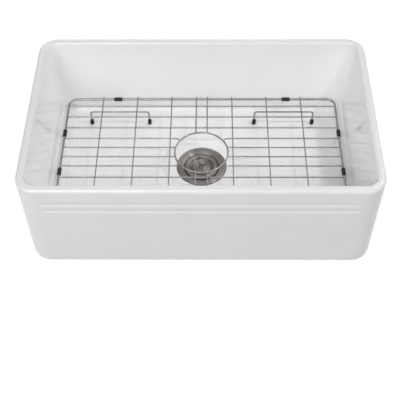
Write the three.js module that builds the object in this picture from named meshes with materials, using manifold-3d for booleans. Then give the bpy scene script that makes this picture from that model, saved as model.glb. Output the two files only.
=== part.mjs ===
// Farmhouse apron front sink in glazed fireclay, with its wire bottom grid and basket strainer drain.
//
// Millimetres, +Z up. The origin is the centre of the base plane, on the axis of the drain.
// +X is to the right and the apron faces -Y. The drain hangs below the base plane, inside the cabinet.

import * as THREE from 'three';
import { mergeVertices } from 'three/addons/utils/BufferGeometryUtils.js';
import Module from 'manifold-3d';

const wasm = await Module();
wasm.setup();

// ---------------------------------------------------------------- driving sizes

const GAP = 0.3; // clear space between pieces that touch, where a weld, a thread or soft rubber sits

// Basin: one fired clay body
const WIDTH = 762; // left side to right side
const DEPTH = 464; // apron face to back face
const HEIGHT = 264; // base to rim
const WALL = 18; // at the rim
const LEAN_TOP = 8.5; // degrees that an inside wall leans in below the rim
const LEAN_FOOT = 14.5; // the same where the wall turns into the floor
const CORNER_R = 43; // upright outside corners
const INNER_CORNER_R = 25; // upright inside corners
const RIM_R = 8; // outer edge of the rim
const RIM_INNER_R = 6; // inner edge of the rim
const BASE_R = 24; // edge between the outside walls and the base
const FLOOR_R = 20; // edge between the inside walls and the floor
const BOWL_DEPTH = 186; // rim to the flat of the floor
const FLOOR_THICKNESS = 32;
const FOOT_WIDTH = 20; // flat strip round the base that the basin stands on
const FOOT_DRAFT = 4; // lean of the strip's inner side
const FOOT_CORNER_R = 16;

// Apron: two shallow grooves across the front
const GROOVE_WIDTH = 11;
const GROOVE_SINK = 1.8; // how deep a groove goes into the apron
const GROOVE_DROP = 45; // rim to the middle of the upper groove
const GROOVE_PITCH = 21; // upper groove to lower groove
const GROOVE_END_GAP = 10; // end of a groove's even run to where the apron starts to curve back

// Drain seat: the floor dips smoothly to the flange
const DISH_R = 155;
const DISH_DROP = 9;
const FLANGE_R = 58;
const FLANGE_SIDE_GAP = 1.5; // flange edge to the side of its seat
const FLANGE_T = 2.5;
const SEAL_T = 1.4; // rubber under the flange
const DRAIN_HOLE_R = 44.5;

// Strainer body
const CUP_R = 40.6; // inside of the upper cup
const CUP_WALL = 1.4; // upper cup, to the crest of its outside thread
const LEDGE_DROP = 5.5; // flange top to the ledge that carries basket and lid
const LEDGE_WIDTH = 7.2;
const BASKET_ROOM = 49.5; // ledge to the foot of the lower cup
const CUP_TAPER = 2; // how much the lower cup closes in over that height
const THREAD_LENGTH = 43; // flange top to the end of the outside thread
const CONE_HEIGHT = 11; // lower cup to neck
const NECK_R = 21.5;
const NECK_WALL = 3.5;
const NECK_LENGTH = 23;

// Clamping pieces under the floor
const GASKET_T = 3;
const FRICTION_T = 1.2;
const CLAMP_WIDTH = 12; // gasket and friction ring, hole edge to rim
const LOCKNUT_HEIGHT = 12;
const LOCKNUT_WALL = 8;
const LUG_LENGTH = 6;
const LUG_COUNT = 6;

// Outlet under the strainer
const WASHER_T = 1.6;
const TAIL_R = 22.5; // outside of the threaded tail
const TAIL_WALL = 3;
const TAIL_COLLAR_T = 3;
const TAIL_LENGTH = 34;
const NUT_LIP_T = 2.5;
const NUT_HEIGHT = 22;
const NUT_WALL = 4;
const NUT_RIBS = 16;
const NUT_RIB_DEPTH = 0.8;

// Basket
const BASKET_SIDE_GAP = 0.5;
const BASKET_T = 1.2;
const BASKET_HEIGHT = 47.5; // ledge to the underside of the basket floor
const BASKET_TAPER = 3.4;
const BASKET_RIM_WIDTH = 3.6;
const BASKET_RIM_HEIGHT = 2;
const BASKET_HOLE_R = 1.9;
const WALL_HOLE_ROWS = 3;
const WALL_HOLES_ROUND = 12;
const FLOOR_HOLE_RINGS = 2;

// Lid
const LID_R = 39.8;
const LID_T = 1.2;
const LID_SEAL_WIDTH = 2.6;
const LID_SEAL_T = 2.7;
const LID_BRIM_WIDTH = 11.3; // outer edge to the channel
const LID_CHANNEL_WIDTH = 6.8;
const LID_CHANNEL_DEPTH = 5;
const LID_CROWN_RISE = 1.2; // middle of the lid above its brim
const KNOB_R = 7.6;
const KNOB_WAIST_R = 4.8;
const KNOB_HEIGHT = 18;
const SCREW_R = 2.2;
const SCREW_HEAD_R = 4.6;
const SCREW_HEAD_T = 2.2;
const SCREW_GRIP = 8; // screw length inside the knob

// Bottom grid, welded from steel wire
const FRAME_WIRE_R = 2.5;
const RING_WIRE_R = 2;
const WIRE_R = 1.5;
const FOOT_WIRE_R = 2;
const GRID_SIDE_GAP = 38; // inside wall to the middle of the frame wire, left and right
const GRID_END_GAP = 41; // the same, front and back
const GRID_CORNER_R = 20;
const GRID_STAND = 43.5; // flat of the floor to the top of the frame wire
const RING_R = 62; // middle of the ring's wire
const RING_CROSS_GAP = 11.5; // ring to the nearest cross wire beside it
const RING_LONG_GAP = 14.5; // ring to the nearest long wire beside it
const SPLIT_CROSS_X = 13.4; // cross wires that end on the ring
const SPLIT_LONG_PITCH = 28.2; // long wires that end on the ring
const LONG_EDGE_GAP = 25.5; // outermost long wire to the frame
const LONG_STEPS = 2;
const CROSS_STEPS = 3;
const CROSS_OVERHANG = 1; // cross wire tips past the frame
const HOOK_LENGTH = 8; // bent end of the outer split wires
const FOOT_SPAN = 142; // leg to leg of one foot wire
const FOOT_BEND_R = 7;
const CAP_R = 4.6;
const CAP_HEIGHT = 14;
const CAP_SOLE = 4; // rubber under the end of the leg
const BUMPER_R = 4.75;
const BUMPER_LENGTH = 20;
const BUMPER_PLACE = 0.58; // along the way between the two outer cross wires

// Fineness of round shapes
const CORNER_STEPS = 6;
const ARC_STEPS = 4;
const ROUND = 32;
const SMALL_ROUND = 10;
const WIRE_SIDES = 8;

// ---------------------------------------------------------------- heights and places that follow from them

const FLOOR_Z = HEIGHT - BOWL_DEPTH;
const UNDERSIDE_Z = FLOOR_Z - FLOOR_THICKNESS;
const FLANGE_TOP = FLOOR_Z - DISH_DROP;
const FLANGE_UNDER = FLANGE_TOP - FLANGE_T;
const SEAT_Z = FLANGE_UNDER - SEAL_T - 2 * GAP;
const THREAD_R = CUP_R + CUP_WALL;
const LEDGE_Z = FLANGE_TOP - LEDGE_DROP;
const LEDGE_R = CUP_R - LEDGE_WIDTH;
const CUP_FOOT_Z = LEDGE_Z - BASKET_ROOM;
const NECK_TOP = CUP_FOOT_Z - CONE_HEIGHT;
const NECK_OUTER_R = NECK_R + NECK_WALL;
const NECK_END = NECK_TOP - NECK_LENGTH;

const FRAME_X = WIDTH / 2 - WALL - GRID_SIDE_GAP;
const FRAME_Y = DEPTH / 2 - WALL - GRID_END_GAP;
const GRID_Z = FLOOR_Z + GRID_STAND;
const RING_OUTER_R = RING_R + RING_WIRE_R;
const FIRST_CROSS_X = RING_R + RING_CROSS_GAP;
const FIRST_LONG_Y = RING_R + RING_LONG_GAP;
const CROSS_X = steps(FIRST_CROSS_X, FRAME_X - (FRAME_X - FIRST_CROSS_X) / CROSS_STEPS, CROSS_STEPS - 1);
const LONG_Y = steps(FIRST_LONG_Y, FRAME_Y - LONG_EDGE_GAP, LONG_STEPS);
const SPLIT_LONG_Y = [SPLIT_LONG_PITCH / 2, 1.5 * SPLIT_LONG_PITCH];

// ---------------------------------------------------------------- materials

const glaze = new THREE.MeshStandardMaterial({ color: 0xf1f2f1, roughness: 0.12, metalness: 0 });
const brushedSteel = new THREE.MeshStandardMaterial({ color: 0x9b9894, roughness: 0.32, metalness: 1 });
const wireSteel = new THREE.MeshStandardMaterial({ color: 0xa7a7a5, roughness: 0.2, metalness: 1 });
const blackRubber = new THREE.MeshStandardMaterial({ color: 0x1d1d1e, roughness: 0.75, metalness: 0 });
const blackPlastic = new THREE.MeshStandardMaterial({ color: 0x222324, roughness: 0.45, metalness: 0 });
const fibreCard = new THREE.MeshStandardMaterial({ color: 0xb9b2a2, roughness: 0.9, metalness: 0 });

// ---------------------------------------------------------------- shape helpers

/** Evenly spaced values from one end to the other, both included. */
function steps(from, to, count) {
  return Array.from({ length: count + 1 }, (_, i) => from + ((to - from) * i) / count);
}

/** Points of an arc about (u, v) between two angles in degrees. */
function arc(u, v, radius, from, to, count = ARC_STEPS) {
  return steps(from, to, count).map((degrees) => {
    const a = THREE.MathUtils.degToRad(degrees);
    return [u + radius * Math.cos(a), v + radius * Math.sin(a)];
  });
}

/** One closed body: shared corners merged, empty triangles dropped, faces turned outwards. */
function closed(geometry) {
  geometry.deleteAttribute('normal');
  geometry.deleteAttribute('uv');
  const merged = mergeVertices(geometry, 1e-4);
  const index = Array.from(merged.index.array);
  const kept = [];
  for (let i = 0; i < index.length; i += 3) {
    const [a, b, c] = index.slice(i, i + 3);
    if (a !== b && b !== c && c !== a) kept.push(a, b, c);
  }
  const corner = (i) => new THREE.Vector3().fromBufferAttribute(merged.attributes.position, i);
  let volume = 0;
  for (let i = 0; i < kept.length; i += 3) {
    volume += corner(kept[i]).dot(corner(kept[i + 1]).cross(corner(kept[i + 2])));
  }
  if (volume < 0) kept.reverse();
  merged.setIndex(kept);
  return merged;
}

/** A closed geometry as a solid that can be joined and cut. */
function solid(geometry) {
  const shape = closed(geometry);
  return new wasm.Manifold(
    new wasm.Mesh({
      numProp: 3,
      vertProperties: new Float32Array(shape.attributes.position.array),
      triVerts: new Uint32Array(shape.index.array),
    }),
  );
}

/** The surface of a joined or cut solid. */
function surface(body) {
  const { vertProperties, triVerts } = body.getMesh();
  const geometry = new THREE.BufferGeometry();
  geometry.setAttribute('position', new THREE.BufferAttribute(vertProperties, 3));
  geometry.setIndex(new THREE.BufferAttribute(triVerts, 1));
  return geometry;
}

/** A profile of [radius, height] points turned about Z. The profile closes on the axis or on itself. */
function turned(profile, segments = ROUND) {
  const points = profile.map(([r, z]) => new THREE.Vector2(r, z));
  if (profile[0][0] > 0) points.push(points[0].clone());
  return closed(new THREE.LatheGeometry(points, segments).rotateX(Math.PI / 2));
}

/** A body through rings of equally many points, closed by flat ends or by meeting itself again. */
function loft(rings, meetsItself = false) {
  const count = rings[0].length;
  const points = rings.flat();
  const index = [];
  const bands = meetsItself ? rings.length : rings.length - 1;
  for (let band = 0; band < bands; band += 1) {
    const a = band * count;
    const b = ((band + 1) % rings.length) * count;
    for (let j = 0; j < count; j += 1) {
      const k = (j + 1) % count;
      index.push(a + j, a + k, b + k, a + j, b + k, b + j);
    }
  }
  if (!meetsItself) {
    const last = (rings.length - 1) * count;
    const middle = (ring) => ring.reduce((sum, p) => sum.add(p), new THREE.Vector3()).divideScalar(count);
    const first = points.push(middle(rings[0]), middle(rings[rings.length - 1])) - 2;
    for (let j = 0; j < count; j += 1) {
      const k = (j + 1) % count;
      index.push(first, k, j, first + 1, last + j, last + k);
    }
  }
  return closed(new THREE.BufferGeometry().setFromPoints(points).setIndex(index));
}

/** Rounded rectangle at height z, as points in order round it. */
function roundedRectangle(halfX, halfY, radius, z) {
  const corners = [[1, 1, 0], [-1, 1, 90], [-1, -1, 180], [1, -1, 270]];
  return corners.flatMap(([sx, sy, from]) =>
    arc(sx * (halfX - radius), sy * (halfY - radius), radius, from, from + 90, CORNER_STEPS).map(
      ([x, y]) => new THREE.Vector3(x, y, z),
    ),
  );
}

/** Round wire through bend points, its section square to the way on at each of them. */
function wire(points, radius) {
  const ways = points.slice(1).map((p, i) => p.clone().sub(points[i]).normalize());
  const side = ways.length > 1 ? ways[0].clone().cross(ways[ways.length - 1]) : new THREE.Vector3(0, 0, 0);
  if (side.length() < 1e-6) side.set(0, 0, 1);
  if (Math.abs(side.clone().normalize().dot(ways[0])) > 0.99) side.set(0, 1, 0);
  side.normalize();
  const rings = points.map((p, i) => {
    const before = ways[Math.max(i - 1, 0)];
    const after = ways[Math.min(i, ways.length - 1)];
    const way = before.clone().add(after).normalize();
    const stretch = 1 / Math.max(way.dot(after), 0.5);
    const across = way.clone().cross(side).normalize();
    return steps(0, 360, WIRE_SIDES).slice(1).map((degrees) => {
      const a = THREE.MathUtils.degToRad(degrees + 180 / WIRE_SIDES);
      return p
        .clone()
        .addScaledVector(across, radius * Math.cos(a) * stretch)
        .addScaledVector(side, radius * Math.sin(a));
    });
  });
  return loft(rings);
}

/** Ring of material between two radii and two heights. */
function washer(inner, outer, low, high, segments = ROUND) {
  return turned([[inner, low], [outer, low], [outer, high], [inner, high]], segments);
}

const sink = new THREE.Group();

/** Adds one named piece, with its geometry in place or moved to a point. */
function add(group, name, geometry, material, place = [0, 0, 0]) {
  const mesh = new THREE.Mesh(geometry, material);
  mesh.name = name;
  mesh.position.set(...place);
  group.add(mesh);
}

// ---------------------------------------------------------------- basin

/**
 * Section of an inside wall as [inset, z] points: the rim's inner edge, a wall that leans in along an arc
 * several times as tall as itself, and the curve into the floor, each tangent to the one before.
 */
function insideWall() {
  const [sinTop, cosTop] = [Math.sin, Math.cos].map((f) => f(THREE.MathUtils.degToRad(LEAN_TOP)));
  const [sinFoot, cosFoot] = [Math.sin, Math.cos].map((f) => f(THREE.MathUtils.degToRad(LEAN_FOOT)));
  const top = [WALL - RIM_INNER_R * (1 - cosTop), HEIGHT - RIM_INNER_R * (1 - sinTop)];
  const footZ = FLOOR_Z + FLOOR_R * (1 - sinFoot);
  const radius = (top[1] - footZ) / (sinFoot - sinTop);
  const footInset = top[0] + radius * (cosTop - cosFoot);
  return {
    lip: arc(WALL - RIM_INNER_R, HEIGHT - RIM_INNER_R, RIM_INNER_R, 90, LEAN_TOP),
    wall: arc(top[0] + radius * cosTop, top[1] + radius * sinTop, radius, 180 + LEAN_TOP, 180 + LEAN_FOOT),
    cove: arc(footInset + FLOOR_R * cosFoot, FLOOR_Z + FLOOR_R, FLOOR_R, 180 + LEAN_FOOT, 270),
    footInset,
  };
}

/** Section of the basin as rings: underside, foot, outside wall, rim, inside wall, floor. */
function basinShell() {
  const ring = (inset, z, radius) => roundedRectangle(WIDTH / 2 - inset, DEPTH / 2 - inset, radius, z);
  const outside = ([inset, z]) => ring(inset, z, CORNER_R - inset);
  const inner = insideWall();
  const lip = ([inset, z]) => ring(inset, z, INNER_CORNER_R + WALL - inset);
  const wall = ([inset, z]) => ring(inset, z, INNER_CORNER_R);
  const cove = ([inset, z]) => ring(inset, z, INNER_CORNER_R + inner.footInset - inset);
  const footInset = BASE_R + FOOT_WIDTH;
  return loft([
    ring(footInset + FOOT_DRAFT, UNDERSIDE_Z, FOOT_CORNER_R),
    ring(footInset, 0, FOOT_CORNER_R),
    ...arc(BASE_R, BASE_R, BASE_R, 270, 180).map(outside),
    ...arc(RIM_R, HEIGHT - RIM_R, RIM_R, 180, 90).map(outside),
    ...inner.lip.map(lip),
    ...inner.wall.slice(1, -1).map(wall),
    ...inner.cove.map(cove),
  ]);
}

/** What the dish, the flange seat and the drain hole take out of the floor. */
function drainCut() {
  const seatR = FLANGE_R + FLANGE_SIDE_GAP;
  const lip = 0.3; // the dish starts this far above the floor, so that it runs out of it cleanly
  const dish = steps(0, 1, 7).map((t) => [
    DISH_R + (seatR - DISH_R) * t,
    FLOOR_Z + lip - ((DISH_DROP + lip) * (1 - Math.cos(Math.PI * t))) / 2,
  ]);
  const above = FLOOR_Z + WALL;
  return turned(
    [
      [0, above],
      [DISH_R, above],
      ...dish,
      [seatR, SEAT_Z],
      [DRAIN_HOLE_R, SEAT_Z],
      [DRAIN_HOLE_R, UNDERSIDE_Z - WALL],
      [0, UNDERSIDE_Z - WALL],
    ],
    ROUND + SMALL_ROUND,
  );
}

/** One groove: a capsule lying along the apron, as far out of it as leaves the stated depth and width. */
function grooveCut(drop) {
  const radius = (GROOVE_WIDTH ** 2 / 4 + GROOVE_SINK ** 2) / (2 * GROOVE_SINK);
  const straight = WIDTH - 2 * (CORNER_R + GROOVE_END_GAP);
  const capsule = new THREE.CapsuleGeometry(radius, straight, ARC_STEPS, 2 * SMALL_ROUND);
  return capsule.rotateZ(Math.PI / 2).translate(0, -DEPTH / 2 - radius + GROOVE_SINK, HEIGHT - drop);
}

function basin() {
  return surface(
    solid(basinShell())
      .subtract(solid(drainCut()))
      .subtract(solid(grooveCut(GROOVE_DROP)))
      .subtract(solid(grooveCut(GROOVE_DROP + GROOVE_PITCH))),
  );
}

add(sink, 'sink_bowl', basin(), glaze);

// ---------------------------------------------------------------- drain

const drain = new THREE.Group();
sink.add(drain);

/** Flange, upper cup, ledge, lower cup, cone and neck as one turned body. */
function strainerBody() {
  const cupFootR = LEDGE_R - CUP_TAPER;
  const wall = CUP_WALL + 1;
  return turned([
    [NECK_R, NECK_END],
    [NECK_OUTER_R, NECK_END],
    [NECK_OUTER_R, NECK_TOP - 2],
    [cupFootR, NECK_TOP],
    [cupFootR + wall, CUP_FOOT_Z],
    [THREAD_R, FLANGE_TOP - THREAD_LENGTH],
    [THREAD_R, FLANGE_UNDER],
    [FLANGE_R - 1, FLANGE_UNDER],
    [FLANGE_R, FLANGE_UNDER + 0.6],
    [FLANGE_R - 0.6, FLANGE_TOP - 0.7],
    [FLANGE_R - 4, FLANGE_TOP],
    [CUP_R + 6, FLANGE_TOP - 0.4],
    [CUP_R + 1.5, FLANGE_TOP - 1.6],
    [CUP_R, FLANGE_TOP - 4],
    [CUP_R, LEDGE_Z],
    [LEDGE_R + 0.8, LEDGE_Z],
    [LEDGE_R, LEDGE_Z - 0.8],
    [cupFootR, CUP_FOOT_Z],
    [NECK_R + 2, NECK_TOP + 1],
    [NECK_R, NECK_TOP - 1],
  ]);
}

/** Ring nut with lugs that a spanner turns, extruded from its outline. */
function locknut(inner, outer, low) {
  const outline = new THREE.Shape();
  const lug = 360 / LUG_COUNT;
  for (let i = 0; i < LUG_COUNT; i += 1) {
    const lugFace = arc(0, 0, outer + LUG_LENGTH, i * lug - 7, i * lug + 7, 1);
    const betweenLugs = arc(0, 0, outer, i * lug + 10, (i + 1) * lug - 10, ARC_STEPS);
    [...lugFace, ...betweenLugs].forEach(([x, y], k) => (i + k ? outline.lineTo(x, y) : outline.moveTo(x, y)));
  }
  outline.closePath();
  outline.holes.push(new THREE.Path().absarc(0, 0, inner, 0, 2 * Math.PI, true));
  const nut = new THREE.ExtrudeGeometry(outline, { depth: LOCKNUT_HEIGHT, bevelEnabled: false, curveSegments: ROUND });
  return closed(nut.translate(0, 0, low));
}

/** Slip nut with grip ribs: a threaded bore over a lip that holds the tail's collar. */
function outletNut(low) {
  const boreR = NECK_OUTER_R + GAP;
  const outline = new THREE.Shape(
    steps(0, 360, NUT_RIBS * 4).slice(1).map((degrees) => {
      const a = THREE.MathUtils.degToRad(degrees);
      const r = boreR + NUT_WALL + NUT_RIB_DEPTH * Math.cos(NUT_RIBS * a);
      return new THREE.Vector2(r * Math.cos(a), r * Math.sin(a));
    }),
  );
  outline.holes.push(new THREE.Path().absarc(0, 0, TAIL_R + GAP, 0, 2 * Math.PI, true));
  const blank = new THREE.ExtrudeGeometry(outline, { depth: NUT_HEIGHT, bevelEnabled: false, curveSegments: ROUND });
  const bore = turned([[0, NUT_LIP_T], [boreR, NUT_LIP_T], [boreR, NUT_HEIGHT + 1], [0, NUT_HEIGHT + 1]]);
  return surface(solid(blank).subtract(solid(bore))).translate(0, 0, low);
}

/** Basket with a rolled rim, hung in the lower cup, its wall and floor pierced by rings of holes. */
function basket() {
  const topR = LEDGE_R - BASKET_SIDE_GAP;
  const footR = topR - BASKET_TAPER;
  const footZ = LEDGE_Z - BASKET_HEIGHT;
  const rimLow = LEDGE_Z + GAP;
  const rimHigh = rimLow + BASKET_RIM_HEIGHT;
  const rimR = topR + BASKET_RIM_WIDTH;
  const shell = solid(
    turned([
      [0, footZ],
      [footR - 2, footZ],
      [footR, footZ + 2],
      [topR, rimLow],
      [rimR - 0.6, rimLow],
      [rimR, (rimLow + rimHigh) / 2],
      [rimR - 0.6, rimHigh],
      [topR, rimHigh],
      [topR - BASKET_T, rimHigh - 1],
      [footR - BASKET_T, footZ + 2 + BASKET_T / 2],
      [footR - 2 - BASKET_T / 2, footZ + BASKET_T],
      [0, footZ + BASKET_T],
    ]),
  );
  const holes = [];
  const rowPitch = (BASKET_HEIGHT - 4) / (WALL_HOLE_ROWS + 1);
  for (let row = 1; row <= WALL_HOLE_ROWS; row += 1) {
    for (let i = 0; i < WALL_HOLES_ROUND; i += 1) {
      const turn = ((i + (row % 2) / 2) / WALL_HOLES_ROUND) * 2 * Math.PI;
      const drill = new THREE.CylinderGeometry(BASKET_HOLE_R, BASKET_HOLE_R, BASKET_TAPER + 4 * BASKET_T, 6);
      holes.push(drill.rotateZ(Math.PI / 2).translate((topR + footR) / 2, 0, footZ + 2 + row * rowPitch).rotateZ(turn));
    }
  }
  for (let ring = 1; ring <= FLOOR_HOLE_RINGS; ring += 1) {
    const ringR = ((footR - 3) * ring) / (FLOOR_HOLE_RINGS + 0.5);
    for (let i = 0; i < 6 * ring; i += 1) {
      const turn = (i / (6 * ring)) * 2 * Math.PI;
      const drill = new THREE.CylinderGeometry(BASKET_HOLE_R, BASKET_HOLE_R, 4 * BASKET_T, 6);
      holes.push(drill.rotateX(Math.PI / 2).translate(ringR, 0, footZ).rotateZ(turn));
    }
  }
  return surface(holes.reduce((body, hole) => body.subtract(solid(hole)), shell));
}

const LID_SEAL_Z = LEDGE_Z + GAP;
const LID_UNDER = LID_SEAL_Z + LID_SEAL_T + GAP;
const LID_TOP = LID_UNDER + LID_T;
const CROWN_TOP = LID_TOP + LID_CROWN_RISE;
const SCREW_HOLE_R = SCREW_R + GAP;

/** Pressed lid: flat brim, ring channel, raised middle with the hole for the knob's screw. */
function lid() {
  const channelOuter = LID_R - LID_BRIM_WIDTH;
  const channelInner = channelOuter - LID_CHANNEL_WIDTH;
  const channelFloor = LID_TOP - LID_CHANNEL_DEPTH;
  const top = [
    [LID_R, LID_TOP - 0.4],
    [LID_R - 0.5, LID_TOP],
    [channelOuter + 1, LID_TOP],
    [channelOuter, LID_TOP - 1],
    [channelOuter - 1, channelFloor + 0.6],
    [channelOuter - 2, channelFloor],
    [channelInner + 1.6, channelFloor],
    [channelInner + 0.8, channelFloor + 0.8],
    [channelInner - 0.4, LID_TOP + 0.2],
    [channelInner - 2, LID_TOP + 0.6],
    [KNOB_R, CROWN_TOP],
    [SCREW_HOLE_R, CROWN_TOP],
  ];
  const under = [
    [SCREW_HOLE_R, CROWN_TOP - LID_T],
    [KNOB_R, CROWN_TOP - LID_T],
    [channelInner - 2.8, LID_TOP + 0.6 - LID_T],
    [channelInner - 1.6, LID_TOP - 0.8],
    [channelInner - 0.4, channelFloor],
    [channelInner + 1, channelFloor - LID_T],
    [channelOuter - 1.4, channelFloor - LID_T],
    [channelOuter + 0.2, channelFloor],
    [channelOuter + 1.2, LID_UNDER],
    [LID_R, LID_UNDER],
  ];
  return turned([...top, ...under]);
}

/** Spool-shaped finger knob with a blind hole for its screw. */
function knob(low) {
  const holeTop = low + SCREW_GRIP + 1;
  return turned(
    [
      [0, holeTop],
      [SCREW_HOLE_R, holeTop],
      [SCREW_HOLE_R, low],
      [KNOB_R - 0.6, low],
      [KNOB_R - 0.2, low + 1],
      [KNOB_WAIST_R + 0.8, low + KNOB_HEIGHT * 0.28],
      [KNOB_WAIST_R, low + KNOB_HEIGHT * 0.48],
      [KNOB_WAIST_R + 0.8, low + KNOB_HEIGHT * 0.68],
      [KNOB_R - 0.3, low + KNOB_HEIGHT * 0.86],
      [KNOB_R, low + KNOB_HEIGHT * 0.93],
      [KNOB_R - 1.2, low + KNOB_HEIGHT - 0.3],
      [0, low + KNOB_HEIGHT],
    ],
    2 * SMALL_ROUND,
  );
}

/** Screw that holds the knob from under the lid. */
function knobScrew() {
  const headTop = CROWN_TOP - LID_T - GAP;
  const headLow = headTop - SCREW_HEAD_T;
  return turned(
    [
      [0, headLow],
      [SCREW_HEAD_R - 0.8, headLow],
      [SCREW_HEAD_R, headLow + 0.8],
      [SCREW_HEAD_R, headTop],
      [SCREW_R, headTop],
      [SCREW_R, CROWN_TOP + GAP + SCREW_GRIP],
      [0, CROWN_TOP + GAP + SCREW_GRIP],
    ],
    SMALL_ROUND,
  );
}

const sealInner = DRAIN_HOLE_R + GAP;
const gasketTop = UNDERSIDE_Z - GAP;
const frictionTop = gasketTop - GASKET_T - GAP;
const locknutTop = frictionTop - FRICTION_T - GAP;
const clampInner = THREAD_R + GAP;
const washerTop = NECK_END - GAP;
const tailTop = washerTop - WASHER_T - GAP;
const nutLow = tailTop - TAIL_COLLAR_T - GAP - NUT_LIP_T;

add(drain, 'strainer_body', strainerBody(), brushedSteel);
add(drain, 'flange_seal', washer(sealInner, FLANGE_R - 1, SEAT_Z + GAP, FLANGE_UNDER - GAP), blackRubber);
add(drain, 'deck_gasket', washer(clampInner, THREAD_R + CLAMP_WIDTH, gasketTop - GASKET_T, gasketTop), blackRubber);
add(
  drain,
  'friction_ring',
  washer(clampInner, THREAD_R + CLAMP_WIDTH, frictionTop - FRICTION_T, frictionTop),
  fibreCard,
);
add(drain, 'locknut', locknut(clampInner, THREAD_R + LOCKNUT_WALL, locknutTop - LOCKNUT_HEIGHT), blackPlastic);
add(
  drain,
  'tail_washer',
  washer(TAIL_R - TAIL_WALL, NECK_OUTER_R - GAP, washerTop - WASHER_T, washerTop, 2 * SMALL_ROUND),
  blackRubber,
);
add(
  drain,
  'outlet_tail',
  turned(
    [
      [TAIL_R - TAIL_WALL, tailTop - TAIL_LENGTH],
      [TAIL_R - 0.6, tailTop - TAIL_LENGTH],
      [TAIL_R, tailTop - TAIL_LENGTH + 0.8],
      [TAIL_R, tailTop - TAIL_COLLAR_T],
      [NECK_OUTER_R - GAP, tailTop - TAIL_COLLAR_T],
      [NECK_OUTER_R - GAP, tailTop],
      [TAIL_R - TAIL_WALL, tailTop],
    ],
    2 * SMALL_ROUND,
  ),
  blackPlastic,
);
add(drain, 'outlet_nut', outletNut(nutLow), blackPlastic);
add(drain, 'basket', basket(), brushedSteel);
add(drain, 'lid', lid(), brushedSteel);
add(
  drain,
  'lid_seal',
  washer(LID_R - GAP - LID_SEAL_WIDTH, LID_R - GAP, LID_SEAL_Z, LID_SEAL_Z + LID_SEAL_T),
  blackRubber,
);
add(drain, 'lid_knob', knob(CROWN_TOP + GAP), brushedSteel);
add(drain, 'knob_screw', knobScrew(), brushedSteel);

// ---------------------------------------------------------------- bottom grid

const grid = new THREE.Group();
sink.add(grid);

/** The frame wire's round section, carried round the rounded rectangle of its middle line. */
function frameWire() {
  const section = arc(0, GRID_Z - FRAME_WIRE_R, FRAME_WIRE_R, 0, 360 - 360 / WIRE_SIDES, WIRE_SIDES - 1);
  const rings = section.map(([out, z]) =>
    roundedRectangle(FRAME_X + out, FRAME_Y + out, GRID_CORNER_R + out, z),
  );
  return loft(rings, true);
}

add(grid, 'grid_frame', frameWire(), wireSteel);
add(
  grid,
  'grid_ring',
  turned(arc(RING_R, GRID_Z - RING_WIRE_R, RING_WIRE_R, 0, 360 - 360 / WIRE_SIDES, WIRE_SIDES - 1)),
  wireSteel,
);

const at = (x, y, z) => new THREE.Vector3(x, y, z);
const longZ = GRID_Z - WIRE_R;
const crossZ = GRID_Z + WIRE_R + GAP;
const longEnd = FRAME_X - FRAME_WIRE_R - GAP;
const crossEnd = FRAME_Y + FRAME_WIRE_R + CROSS_OVERHANG;
const SIDES = { left: -1, right: 1 };
const ENDS = { front: -1, back: 1 };

/** Points of a wire that runs in from the frame and ends on the ring, bent square to it where it would graze it. */
function splitLongPoints(sx, y) {
  const outer = at(sx * longEnd, y, longZ);
  const stop = RING_OUTER_R + GAP;
  const grazes = Math.abs(y) > RING_R / 2;
  if (!grazes) {
    const nearY = Math.abs(y) - WIRE_R;
    return [outer, at(sx * Math.sqrt(stop ** 2 - nearY ** 2), y, longZ)];
  }
  const bendX = Math.sqrt((stop + HOOK_LENGTH) ** 2 - y ** 2);
  const way = at(sx * bendX, y, 0).normalize();
  return [outer, at(sx * bendX, y, longZ), at(way.x * stop, way.y * stop, longZ)];
}

for (const [end, sy] of Object.entries(ENDS)) {
  LONG_Y.forEach((y, i) => {
    const points = [at(-longEnd, sy * y, longZ), at(longEnd, sy * y, longZ)];
    add(grid, `long_wire_${end}_${i + 1}`, wire(points, WIRE_R), wireSteel);
  });
  for (const [side, sx] of Object.entries(SIDES)) {
    SPLIT_LONG_Y.forEach((y, i) => {
      const points = splitLongPoints(sx, sy * y);
      add(grid, `half_wire_${end}_${side}_${i + 1}`, wire(points, WIRE_R), wireSteel);
    });
    const points = [at(sx * SPLIT_CROSS_X, sy * crossEnd, crossZ), at(sx * SPLIT_CROSS_X, sy * RING_R, crossZ)];
    points[1].y = sy * Math.sqrt(RING_R ** 2 - SPLIT_CROSS_X ** 2);
    add(grid, `half_cross_wire_${end}_${side}`, wire(points, WIRE_R), wireSteel);
  }
}

for (const [side, sx] of Object.entries(SIDES)) {
  CROSS_X.forEach((x, i) => {
    const points = [at(sx * x, -crossEnd, crossZ), at(sx * x, crossEnd, crossZ)];
    add(grid, `cross_wire_${side}_${i + 1}`, wire(points, WIRE_R), wireSteel);
  });
}

// Feet: one bent wire under the two outer cross wires in each corner, with a rubber cap on each leg
const outerCross = CROSS_X.slice(-2);
const footX = (outerCross[0] + outerCross[1]) / 2;
const footY = (LONG_Y[LONG_Y.length - 1] + LONG_Y[LONG_Y.length - 2]) / 2;
const footZ = GRID_Z - FOOT_WIRE_R;
const capLow = FLOOR_Z + GAP;
const legEnd = capLow + CAP_SOLE + GAP;

function footWire(x, y) {
  const half = FOOT_SPAN / 2;
  const bend = (sx, from, to) =>
    arc(sx * (half - FOOT_BEND_R), footZ - FOOT_BEND_R, FOOT_BEND_R, from, to, ARC_STEPS - 1).map(([u, z]) =>
      at(x + u, y, z),
    );
  return wire(
    [at(x - half, y, legEnd), ...bend(-1, 180, 90), ...bend(1, 90, 0), at(x + half, y, legEnd)],
    FOOT_WIRE_R,
  );
}

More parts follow.
